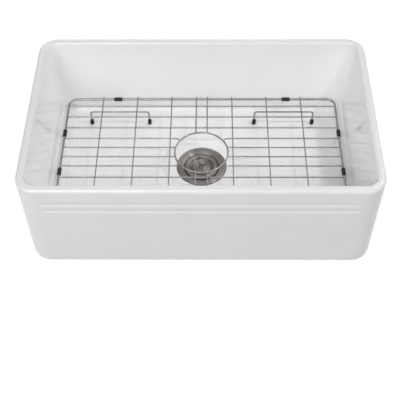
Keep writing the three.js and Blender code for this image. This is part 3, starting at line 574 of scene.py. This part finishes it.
def ribbed_nut():
    """Slip nut over the outlet: a lip below, a bore that clears the neck, and grip ribs that fade at both
    ends. radius = mean + rib depth x cos(ribs x a), flattened into broad ribs."""
    low, high, bore, mean = -28, -6, NECK_OUTER_R + CLEARANCE, NECK_OUTER_R + 4.2
    lip_r, lip_top = TAIL_R + CLEARANCE, low + 2.5
    profile = with_rows(softened([
        [lip_r, low], [mean, low], [mean, high], [bore, high], [bore, lip_top], [lip_r, lip_top]],
        [0.4, 1.4, 1.4, 0.5, 0.3, 0.3]), low, high, spacing=1.2)
    ribs, rib_depth, flatten, bare_end, run_out = 16, 0.8, 2.2, 1.5, 2

    def bend(r, z, a):
        rise = np.clip((z - low - bare_end) / run_out, 0, 1)
        fall = np.clip((high - bare_end - z) / run_out, 0, 1)
        return r + rib_depth * np.tanh(flatten * np.cos(ribs * a)) * (rise * fall) * (r > mean - 0.5)
    return turned(profile, 256, bend=bend)


def outlet_tail():
    """Tube with a collar at its head and an outside thread down to its foot: one section carried round Z."""
    low, high, inner, collar_r = -56.2, -22.2, TAIL_R - 3, NECK_OUTER_R - CLEARANCE
    profile = with_rows(softened([
        [inner, low], [TAIL_R - 0.6, low], [TAIL_R, low + 0.8], [TAIL_R, high - 3], [collar_r, high - 3],
        [collar_r, high], [inner, high]], [0.5, 0.4, 0.4, 0.5, 0.4, 0.4, 0.5]), low, high - 3, spacing=0.4)
    return turned(profile, bend=thread(TAIL_R, low + 1, high - 8, pitch=2.5, depth=0.9))


piece("drain_body", strainer_body(), SPUN_STEEL, "root", ["strainer_body"], sharp=60)
piece("seal_under_flange", ring_of(DRAIN_HOLE_R + CLEARANCE, 57, 64.8, 66.2), RUBBER, "root",
      ["flange_seal"])
piece("gasket_under_floor", ring_of(THREAD_R + CLEARANCE, CLAMP_R, 42.7, 45.7, 0.8), RUBBER, "root",
      ["deck_gasket"])
piece("friction_washer", ring_of(THREAD_R + CLEARANCE, CLAMP_R, 41.2, 42.4, 0.2), FIBRE, "root",
      ["friction_ring"])
piece("clamping_nut", lugged_nut(), POLYPROPYLENE, "root", ["locknut"])
piece("outlet_slip_nut", ribbed_nut(), POLYPROPYLENE, "root", ["outlet_nut"])
piece("outlet_seal", ring_of(TAIL_R - 3, NECK_OUTER_R - CLEARANCE, -21.9, -20.3, 0.3), RUBBER, "root",
      ["tail_washer"])
piece("outlet_tube", outlet_tail(), POLYPROPYLENE, "root", ["outlet_tail"], sharp=60)


# ------------------------------------------------------------------ basket and lid

def pierced(cells, low, high, rows, across, hole_r, place, radius_at):
    """Wall pierced by holes, as tiles. Each tile is a ring of faces between its border and a circle: border
    corner k lies at angle t = atan2(dv, r du) from the tile's middle, and circle corner k at
    hole_r (cos t, sin t). So many cells stand side by side round the axis, and so many rows of them between
    low and high, every other row moved by half a tile; across is the count of faces along a tile's edge.
    place(angle, height along the wall, skin) puts them on the outer (0) and inner (1) skin."""
    side = max(2, across // 2)
    p = np.linspace(-1, 1, across + 1)[:-1]
    q = np.linspace(-1, 1, side + 1)[:-1]
    border = np.concatenate([np.stack([p, -np.ones(across)], -1), np.stack([np.ones(side), q], -1),
                             np.stack([-p, np.ones(across)], -1), np.stack([-np.ones(side), -q], -1)])
    half_u, half_v = math.pi / cells, (high - low) / rows / 2
    row, cell = np.meshgrid(np.arange(rows), np.arange(cells), indexing="ij")
    mid_u = ((2 * cell + row % 2) * half_u).reshape(-1, 1)
    mid_v = (low + (2 * row + 1) * half_v).reshape(-1, 1)
    r = radius_at(mid_v)
    du, dv = border[:, 0] * half_u, border[:, 1] * half_v
    t = np.arctan2(dv, du * r)
    border_u, border_v = mid_u + du, mid_v + dv
    hole_u, hole_v = mid_u + hole_r * np.cos(t) / r, mid_v + hole_r * np.sin(t)
    rings = np.stack([place(border_u, border_v, 0), place(hole_u, hole_v, 0),
                      place(hole_u, hole_v, 1), place(border_u, border_v, 1)], 1)
    points, faces = sheet_of(rings[0])
    starts = np.arange(len(rings))[:, None, None] * len(points)
    return rings.reshape(-1, 3), (faces[None] + starts).reshape(-1, 4)


def basket():
    """Strainer cup: pierced cone wall and pierced flat floor, joined by a plain coved band, under a rolled
    rim. Wall radius = radius at the foot + lean x height above the cone's start.
    All bands have the same number of columns, so that their borders weld."""
    columns, hole_r, bead_r = 96, 1.6, 1.0
    top_r, foot_r, foot_z, thick, rim_z = 32.9, 29.5, 16, 1.2, 63.8
    wall_low, wall_high, floor_edge, boss_r = 19.5, 60, 26.5, 4.5
    # the cone starts this far above the basket's floor
    cone_rise = 2
    lean = (top_r - foot_r) / (rim_z - foot_z - cone_rise)

    def wall_r(z):
        return foot_r + lean * (z - foot_z - cone_rise)

    def on_wall(a, z, skin):
        r = wall_r(z) - thick * skin
        return np.stack([r * np.cos(a), r * np.sin(a), np.broadcast_to(z, np.shape(a * z))], -1)

    def on_floor(a, r, skin):
        return np.stack([r * np.cos(a), r * np.sin(a), foot_z + thick * skin + 0 * a * r], -1)

    turn_r = foot_r - 0.2
    cove = softened([[floor_edge, foot_z], [turn_r, foot_z], [wall_r(wall_low), wall_low]], 3,
                    closed=False, steps=6)
    cove_in = softened([[wall_r(wall_low) - thick, wall_low], [turn_r - thick, foot_z + thick],
                        [floor_edge, foot_z + thick]], 2, closed=False, steps=6)
    bead = np.concatenate([
        [[wall_r(wall_high), wall_high]], arc(top_r + 2.0, rim_z + bead_r, bead_r, 200, 450, 14),
        arc(top_r - 0.2, rim_z + bead_r, bead_r, 90, 180, 6), [[wall_r(wall_high) - thick, wall_high]]])
    middle = [[0, foot_z], [boss_r, foot_z]]
    middle_in = [[boss_r, foot_z + thick], [0, foot_z + thick]]
    strips = [turned(line, columns, closed=False) for line in (cove, cove_in, bead, middle, middle_in)]
    cells, rows = 24, 7
    tiles = [pierced(cells, wall_low, wall_high, rows, columns // cells, hole_r, on_wall, wall_r)]
    for cells, inner, outer in ((24, 19.0, floor_edge), (12, 11.5, 19.0), (6, boss_r, 11.5)):
        tiles.append(pierced(cells, inner, outer, 1, columns // cells, hole_r, on_floor, lambda r: r))
    return joined(strips + tiles)


def lid():
    """Pressed lid: flat brim with a softened edge, ring channel, raised middle, and a hole for the knob's
    screw, as one section carried round Z."""
    top = [[39.8, 67.5], [39.3, 68], [29.5, 68], [28.5, 67], [27.5, 63.6], [26.5, 63], [23.3, 63],
           [22.5, 63.8], [21.3, 68.2], [19.7, 68.6], [7.6, 69.2], [2.5, 69.2]]
    under = [[2.5, 68], [7.6, 68], [18.9, 67.4], [20.1, 67.2], [21.3, 63], [22.7, 61.8], [27.1, 61.8],
             [28.7, 63], [29.7, 66.8], [39.8, 66.8]]
    return turned(softened(top + under, 0.9, steps=5), 128)


def knob():
    """Spool knob: a foot, a waist that a finger and thumb close on, and a domed head, blind-drilled below.
    Its section, softened into one flowing line, is carried round Z."""
    low = 69.5
    drilling = [[0, low + 9], [2.5, low + 9], [2.5, low]]
    outside = softened([
        [2.6, low], [7.0, low], [7.4, low + 1], [5.6, low + 5], [4.8, low + 8.6], [5.6, low + 12.2],
        [7.3, low + 15.2], [7.6, low + 16.6], [6.6, low + 17.8], [5.2, low + 17.6], [0, low + 17.2]],
        2.2, closed=False, steps=6)
    return turned(np.concatenate([drilling, outside]), 64, closed=False)


def knob_screw():
    """Pan-head screw up into the knob: its section carried round Z."""
    head_low, head_top, tip = 65.5, 67.7, 77.5
    profile = softened([
        [0, head_low], [3.8, head_low], [4.6, head_low + 0.8], [4.6, head_top], [2.2, head_top],
        [2.2, tip - 0.5], [1.7, tip], [0, tip]], [0, 0.8, 0.5, 0.2, 0.2, 0.2, 0.2, 0], closed=False, steps=3)
    return turned(profile, 32, closed=False)


piece("strainer_basket", basket(), SPUN_STEEL, "basket", ["basket"])
piece("strainer_lid", lid(), SPUN_STEEL, "lid", ["lid"], sharp=70)
piece("seal_of_lid", ring_of(36.9, 39.5, 63.8, 66.5, 0.7), RUBBER, "lid", ["lid_seal"])
piece("finger_knob", knob(), SPUN_STEEL, "lid", ["lid_knob"])
piece("screw_of_knob", knob_screw(), SPUN_STEEL, "lid", ["knob_screw"])


# ------------------------------------------------------------------ bottom grid

def bent_frame():
    """Frame wire: its round section carried round a rounded rectangle. With e = R cos b out and R sin b up,
    point = ((X - C) u + (C + e) cos a, (Y - C) v + (C + e) sin a, z)."""
    u, v, a = stations(straight_x=40, straight_y=24, corner=14)
    sides = 20
    b = np.arange(sides)[:, None] * TURN / sides
    bend_r = GRID_CORNER_R + FRAME_WIRE_R * np.cos(b)
    x = (FRAME_X - GRID_CORNER_R) * u + bend_r * np.cos(a)
    y = (FRAME_Y - GRID_CORNER_R) * v + bend_r * np.sin(a)
    z = np.broadcast_to(GRID_Z - FRAME_WIRE_R + FRAME_WIRE_R * np.sin(b), x.shape)
    return sheet_of(np.stack([x, y, z], -1), rows_meet=True)


def ring_wire():
    """Ring round the drain: a torus, its wire's section carried round Z."""
    return turned(arc(RING_R, GRID_Z - RING_WIRE_R, RING_WIRE_R, 0, 360, 16)[:-1], 128)


LONG_Z, CROSS_Z = GRID_Z - WIRE_R, GRID_Z + WIRE_R + WELD_GAP
LONG_END, CROSS_END = FRAME_X - FRAME_WIRE_R - WELD_GAP, FRAME_Y + FRAME_WIRE_R + 1
RING_STOP = RING_R + RING_WIRE_R + WELD_GAP
HALF_CROSS_END = math.sqrt(RING_R ** 2 - SPLIT_CROSS_X ** 2)


def half_wire_path(sx, y):
    """From the frame in to the ring; one that would graze the ring turns in to meet it square."""
    bend_cut = 3.5
    if abs(y) < RING_R / 2:
        near = abs(y) - WIRE_R
        return [[sx * LONG_END, y, LONG_Z], [sx * math.sqrt(RING_STOP ** 2 - near ** 2), y, LONG_Z]]
    bend = np.array([sx * math.sqrt((RING_STOP + HOOK_LENGTH) ** 2 - y ** 2), y])
    tip = bend / np.linalg.norm(bend) * RING_STOP
    line = [[sx * LONG_END, y, LONG_Z], [*bend, LONG_Z], [*tip, LONG_Z]]
    return softened(line, bend_cut, closed=False, steps=6)


def foot_path(x, y):
    """Leg, bend, bridge, bend, leg in an upright plane: three straight legs, with each corner softened."""
    half, low, high = FOOT_SPAN / 2, FLOOR_Z + 4.6, GRID_Z - FOOT_WIRE_R
    line = [[x - half, y, low], [x - half, y, high], [x + half, y, high], [x + half, y, low]]
    # a parabola cut this far back passes the corner about as near as a round bend of the radius
    bend_cut = FOOT_BEND_R * 1.15
    return softened(line, bend_cut, closed=False, steps=10)


def foot_cap(x, y):
    """Rubber boot on a leg: domed sole, two shallow grip rings, a lip round the wire. Its section is carried
    round Z and moved under the leg."""
    base, body_r, ring_r, bore_r = FLOOR_Z + CLEARANCE, 4.6, 4.2, 2.3
    outside = softened([
        [0, base], [3.6, base], [body_r, base + 1.4], [body_r, base + 5.0], [ring_r, base + 5.6],
        [ring_r, base + 6.4], [body_r, base + 7.0], [body_r, base + 9.6], [ring_r, base + 10.2],
        [ring_r, base + 11.0], [body_r, base + 11.6], [4.5, base + 13.2], [3.6, base + 14],
        [bore_r, base + 14]], 0.7, closed=False, steps=3)
    bore = [[bore_r, base + 4], [0, base + 4]]
    points, faces = turned(np.concatenate([outside, bore]), 24, closed=False)
    return points + [x, y, 0], faces


def bumper(x, y, along_x):
    """Rubber sleeve round the frame wire, bulging in the middle, its bore against the wire. Its section is
    carried round Z, laid along X or Y, and moved onto the wire."""
    half, bore_r, lip_r, body_r = 10, 2.8, 4.0, 4.6
    profile = softened([
        [bore_r, -half], [lip_r, -half], [body_r, 1.0 - half], [4.75, 0], [body_r, half - 1.0],
        [lip_r, half], [bore_r, half]], [0.2, 0.6, 1.2, 3, 1.2, 0.6, 0.2])
    points, faces = turned(profile, 28)
    points = points[:, [2, 0, 1]] if along_x else points[:, [1, 2, 0]]
    return points + [x, y, GRID_Z - FRAME_WIRE_R], faces


def beads(places, size):
    """Small ellipsoids, one at each place, all from one unit sphere of 10 by 6 faces."""
    lat = np.linspace(-math.pi / 2, math.pi / 2, 7)[:, None]
    lon = np.arange(10)[None] * TURN / 10
    ball = np.broadcast_arrays(np.cos(lat) * np.cos(lon), np.cos(lat) * np.sin(lon), np.sin(lat))
    points, faces = sheet_of(np.stack(ball, -1))
    places = np.asarray(places, float)
    starts = np.arange(len(places))[:, None, None] * len(points)
    return (places[:, None] + points * size).reshape(-1, 3), (faces[None] + starts).reshape(-1, 4)


def weld_places():
    """Where wires cross one above the other, and where a wire's end butts against frame or ring."""
    between, past_end = GRID_Z + WELD_GAP / 2, 0.2
    whole = [s * x for x in CROSS_X for s in BOTH]
    rows = [s * y for y in LONG_Y for s in BOTH]
    split = [s * y for y in SPLIT_LONG_Y for s in BOTH]
    crossings = [(x, y, between) for x in whole for y in rows + split]
    crossings += [(x, s * FRAME_Y, between) for x in whole + [-SPLIT_CROSS_X, SPLIT_CROSS_X] for s in BOTH]
    crossings += [(s * SPLIT_CROSS_X, y, between) for s in BOTH for y in rows]
    crossings += [(sx * SPLIT_CROSS_X, sy * HALF_CROSS_END, between) for sx in BOTH for sy in BOTH]
    crossings += [(sx * x, sy * FOOT_Y, between) for x in CROSS_X[1:] for sx in BOTH for sy in BOTH]
    butts = [(s * (LONG_END + past_end), y, LONG_Z) for s in BOTH for y in rows + split]
    butts += [tuple(half_wire_path(sx, y)[-1]) for sx in BOTH for y in split]
    return crossings, butts


# half sizes of a bead where wires cross, and where one's end meets another's side
CROSSING_BEAD = (1.7, 1.7, 0.9)
BUTT_BEAD = (1.0, 1.8, 1.4)

for end, sy in ENDS.items():
    for n, y in enumerate(LONG_Y):
        line = [[x, sy * y, LONG_Z] for x in (-LONG_END, 0, LONG_END)]
        piece(f"wire_long_{end}_{n + 1}", rod(line, WIRE_R), WIRE_STEEL, "grid",
              [f"long_wire_{end}_{n + 1}"])
for side, sx in SIDES.items():
    for n, x in enumerate(CROSS_X):
        line = [[sx * x, y, CROSS_Z] for y in (-CROSS_END, 0, CROSS_END)]
        piece(f"wire_cross_{side}_{n + 1}", rod(line, WIRE_R), WIRE_STEEL, "grid",
              [f"cross_wire_{side}_{n + 1}"])
    for end, sy in ENDS.items():
        corner = f"{end}_{side}"
        for n, y in enumerate(SPLIT_LONG_Y):
            piece(f"wire_half_{corner}_{n + 1}", rod(half_wire_path(sx, sy * y), WIRE_R), WIRE_STEEL, "grid",
                  [f"half_wire_{corner}_{n + 1}"])
        line = [[sx * SPLIT_CROSS_X, sy * y, CROSS_Z] for y in (CROSS_END, HALF_CROSS_END)]
        piece(f"wire_half_cross_{corner}", rod(line, WIRE_R), WIRE_STEEL, "grid",
              [f"half_cross_wire_{corner}"])
        x, y = sx * FOOT_X, sy * FOOT_Y
        piece(f"foot_bow_{corner}", rod(foot_path(x, y), FOOT_WIRE_R, normal=(0, 1, 0), sides=20), WIRE_STEEL,
              "grid", [f"foot_wire_{corner}"])
        for leg, out in (("inner", -1), ("outer", 1)):
            boot = foot_cap(sx * (FOOT_X + out * FOOT_SPAN / 2), y)
            piece(f"boot_{corner}_{leg}", boot, RUBBER, "grid", [f"foot_cap_{corner}_{leg}"])
        piece(f"sleeve_{corner}_end", bumper(sx * BUMPER_X, sy * FRAME_Y, True), RUBBER, "grid",
              [f"bumper_{corner}_end"])
        piece(f"sleeve_{corner}_side", bumper(sx * FRAME_X, sy * BUMPER_Y, False), RUBBER, "grid",
              [f"bumper_{corner}_side"])
piece("frame_wire", bent_frame(), WIRE_STEEL, "grid", ["grid_frame"])
piece("drain_ring_wire", ring_wire(), WIRE_STEEL, "grid", ["grid_ring"])
crossings, butts = weld_places()
piece("weld_beads", joined([beads(crossings, CROSSING_BEAD), beads(butts, BUTT_BEAD)]), WIRE_STEEL,
      "grid")


# ------------------------------------------------------------------ floor, light, camera

def seen_or_mirrored(tree):
    """1 for camera, mirror and glass rays, and 0 for the soft light that reaches the object."""
    path = node(tree, "LightPath").outputs
    seen = node(tree, "Math", {0: path["Is Camera Ray"], 1: path["Is Glossy Ray"]}, operation="ADD")
    return node(tree, "Math", {0: seen.outputs[0], 1: path["Is Transmission Ray"]}, operation="ADD",
                use_clamp=True).outputs[0]


def studio_floor():
    """Wide flat ring of floor round the drain, which hangs through it, hidden under the basin.
    point = (r cos a, r sin a) from just outside the drain to far off, a hair below the basin's foot."""
    near, far, below = 75, 9000, -0.3
    r = np.geomspace(near, far, 24)[:, None]
    a = np.arange(96)[None] * TURN / 96
    points = np.stack(np.broadcast_arrays(r * np.cos(a), r * np.sin(a), below + 0 * r), -1)
    points, fours, threes = welded(*sheet_of(points[::-1]))
    mesh = bpy.data.meshes.new("studio_floor")
    mesh.from_pydata((points * MM).tolist(), [], fours.tolist() + threes.tolist())
    made = bpy.data.objects.new("studio_floor", mesh)
    bpy.context.scene.collection.objects.link(made)
    material, tree = new_material("white_paper_floor")
    # soft light meets a light grey, so that it throws little up on the apron; eye and mirror see white paper
    grey = node(tree, "BsdfDiffuse", {"Color": srgb("#b4b4b4")})
    paper = node(tree, "BsdfDiffuse", {"Color": srgb("#f2f2f2")})
    glow = node(tree, "Emission", {"Color": srgb("#ffffff"), "Strength": 1.02})
    white = node(tree, "MixShader", {0: 0.95, 1: paper.outputs[0], 2: glow.outputs[0]})
    surface = node(tree, "MixShader", {0: seen_or_mirrored(tree), 1: grey.outputs[0], 2: white.outputs[0]})
    node(tree, "OutputMaterial", {"Surface": surface.outputs[0]})
    mesh.materials.append(material)


def studio_world():
    """Even pale light from all round; camera and mirror rays see plain white instead."""
    world = bpy.data.worlds.new("studio")
    world.use_nodes = True
    tree = world.node_tree
    tree.nodes.clear()
    soft = node(tree, "Background", {"Color": srgb("#fafafa"), "Strength": 0.12})
    white = node(tree, "Background", {"Color": srgb("#ffffff"), "Strength": 1.0})
    mixed = node(tree, "MixShader", {0: seen_or_mirrored(tree), 1: soft.outputs[0], 2: white.outputs[0]})
    node(tree, "OutputWorld", {"Surface": mixed.outputs[0]})
    bpy.context.scene.world = world


def softbox(name, place, side, watts):
    """Square lamp of that side, turned to face the middle of the basin. Sizes in metres."""
    lamp = bpy.data.lights.new(name, "AREA")
    lamp.shape = "SQUARE"
    lamp.size = side
    lamp.energy = watts
    made = bpy.data.objects.new(name, lamp)
    bpy.context.scene.collection.objects.link(made)
    made.location = place
    made.rotation_euler = (Vector(BASIN_MIDDLE) - Vector(place)).to_track_quat("-Z", "Y").to_euler()


def photo_camera():
    """Camera of the photograph, from a fit to the sink's outline: the lens is 803 pixels long for a picture
    400 pixels wide, and it looks down by 52 degrees."""
    lens_pixels, picture_pixels, sensor = 802.67, 400, 36
    place = (0.01734, -1.23531, 1.52905)
    pitch, yaw, roll = 0.9107, -0.0178, 0.013
    lens = bpy.data.cameras.new("photo_camera")
    lens.sensor_width = sensor
    lens.lens = sensor * lens_pixels / picture_pixels
    lens.clip_start = 0.05
    made = bpy.data.objects.new("photo_camera", lens)
    bpy.context.scene.collection.objects.link(made)
    made.location = place
    level = Euler((math.pi / 2 - pitch, 0, -yaw)).to_matrix()
    made.rotation_euler = (level @ Euler((0, 0, -roll)).to_matrix()).to_euler()
    bpy.context.scene.camera = made


BASIN_MIDDLE = (0, 0, 0.15)

studio_floor()
studio_world()
# wide lamps on the left and above for the even white, one on the right and one behind against dark sides,
# and a small one for the glints on wire and steel
softbox("front_left_high", (-1.3, -2.35, 2.4), side=2.6, watts=56)
softbox("front_left_low", (-2.0, -2.8, 1.3), side=2.2, watts=9)
softbox("front_high", (0.2, -1.6, 3.0), side=3.4, watts=27)
softbox("right_back_high", (2.1, 1.2, 2.6), side=2.2, watts=32)
softbox("right_spot", (1.5, -0.33, 2.7), side=0.18, watts=17)
softbox("back_fill", (-0.6, 3.0, 1.4), side=2.4, watts=16)
photo_camera()
bpy.context.scene.view_settings.view_transform = "Standard"
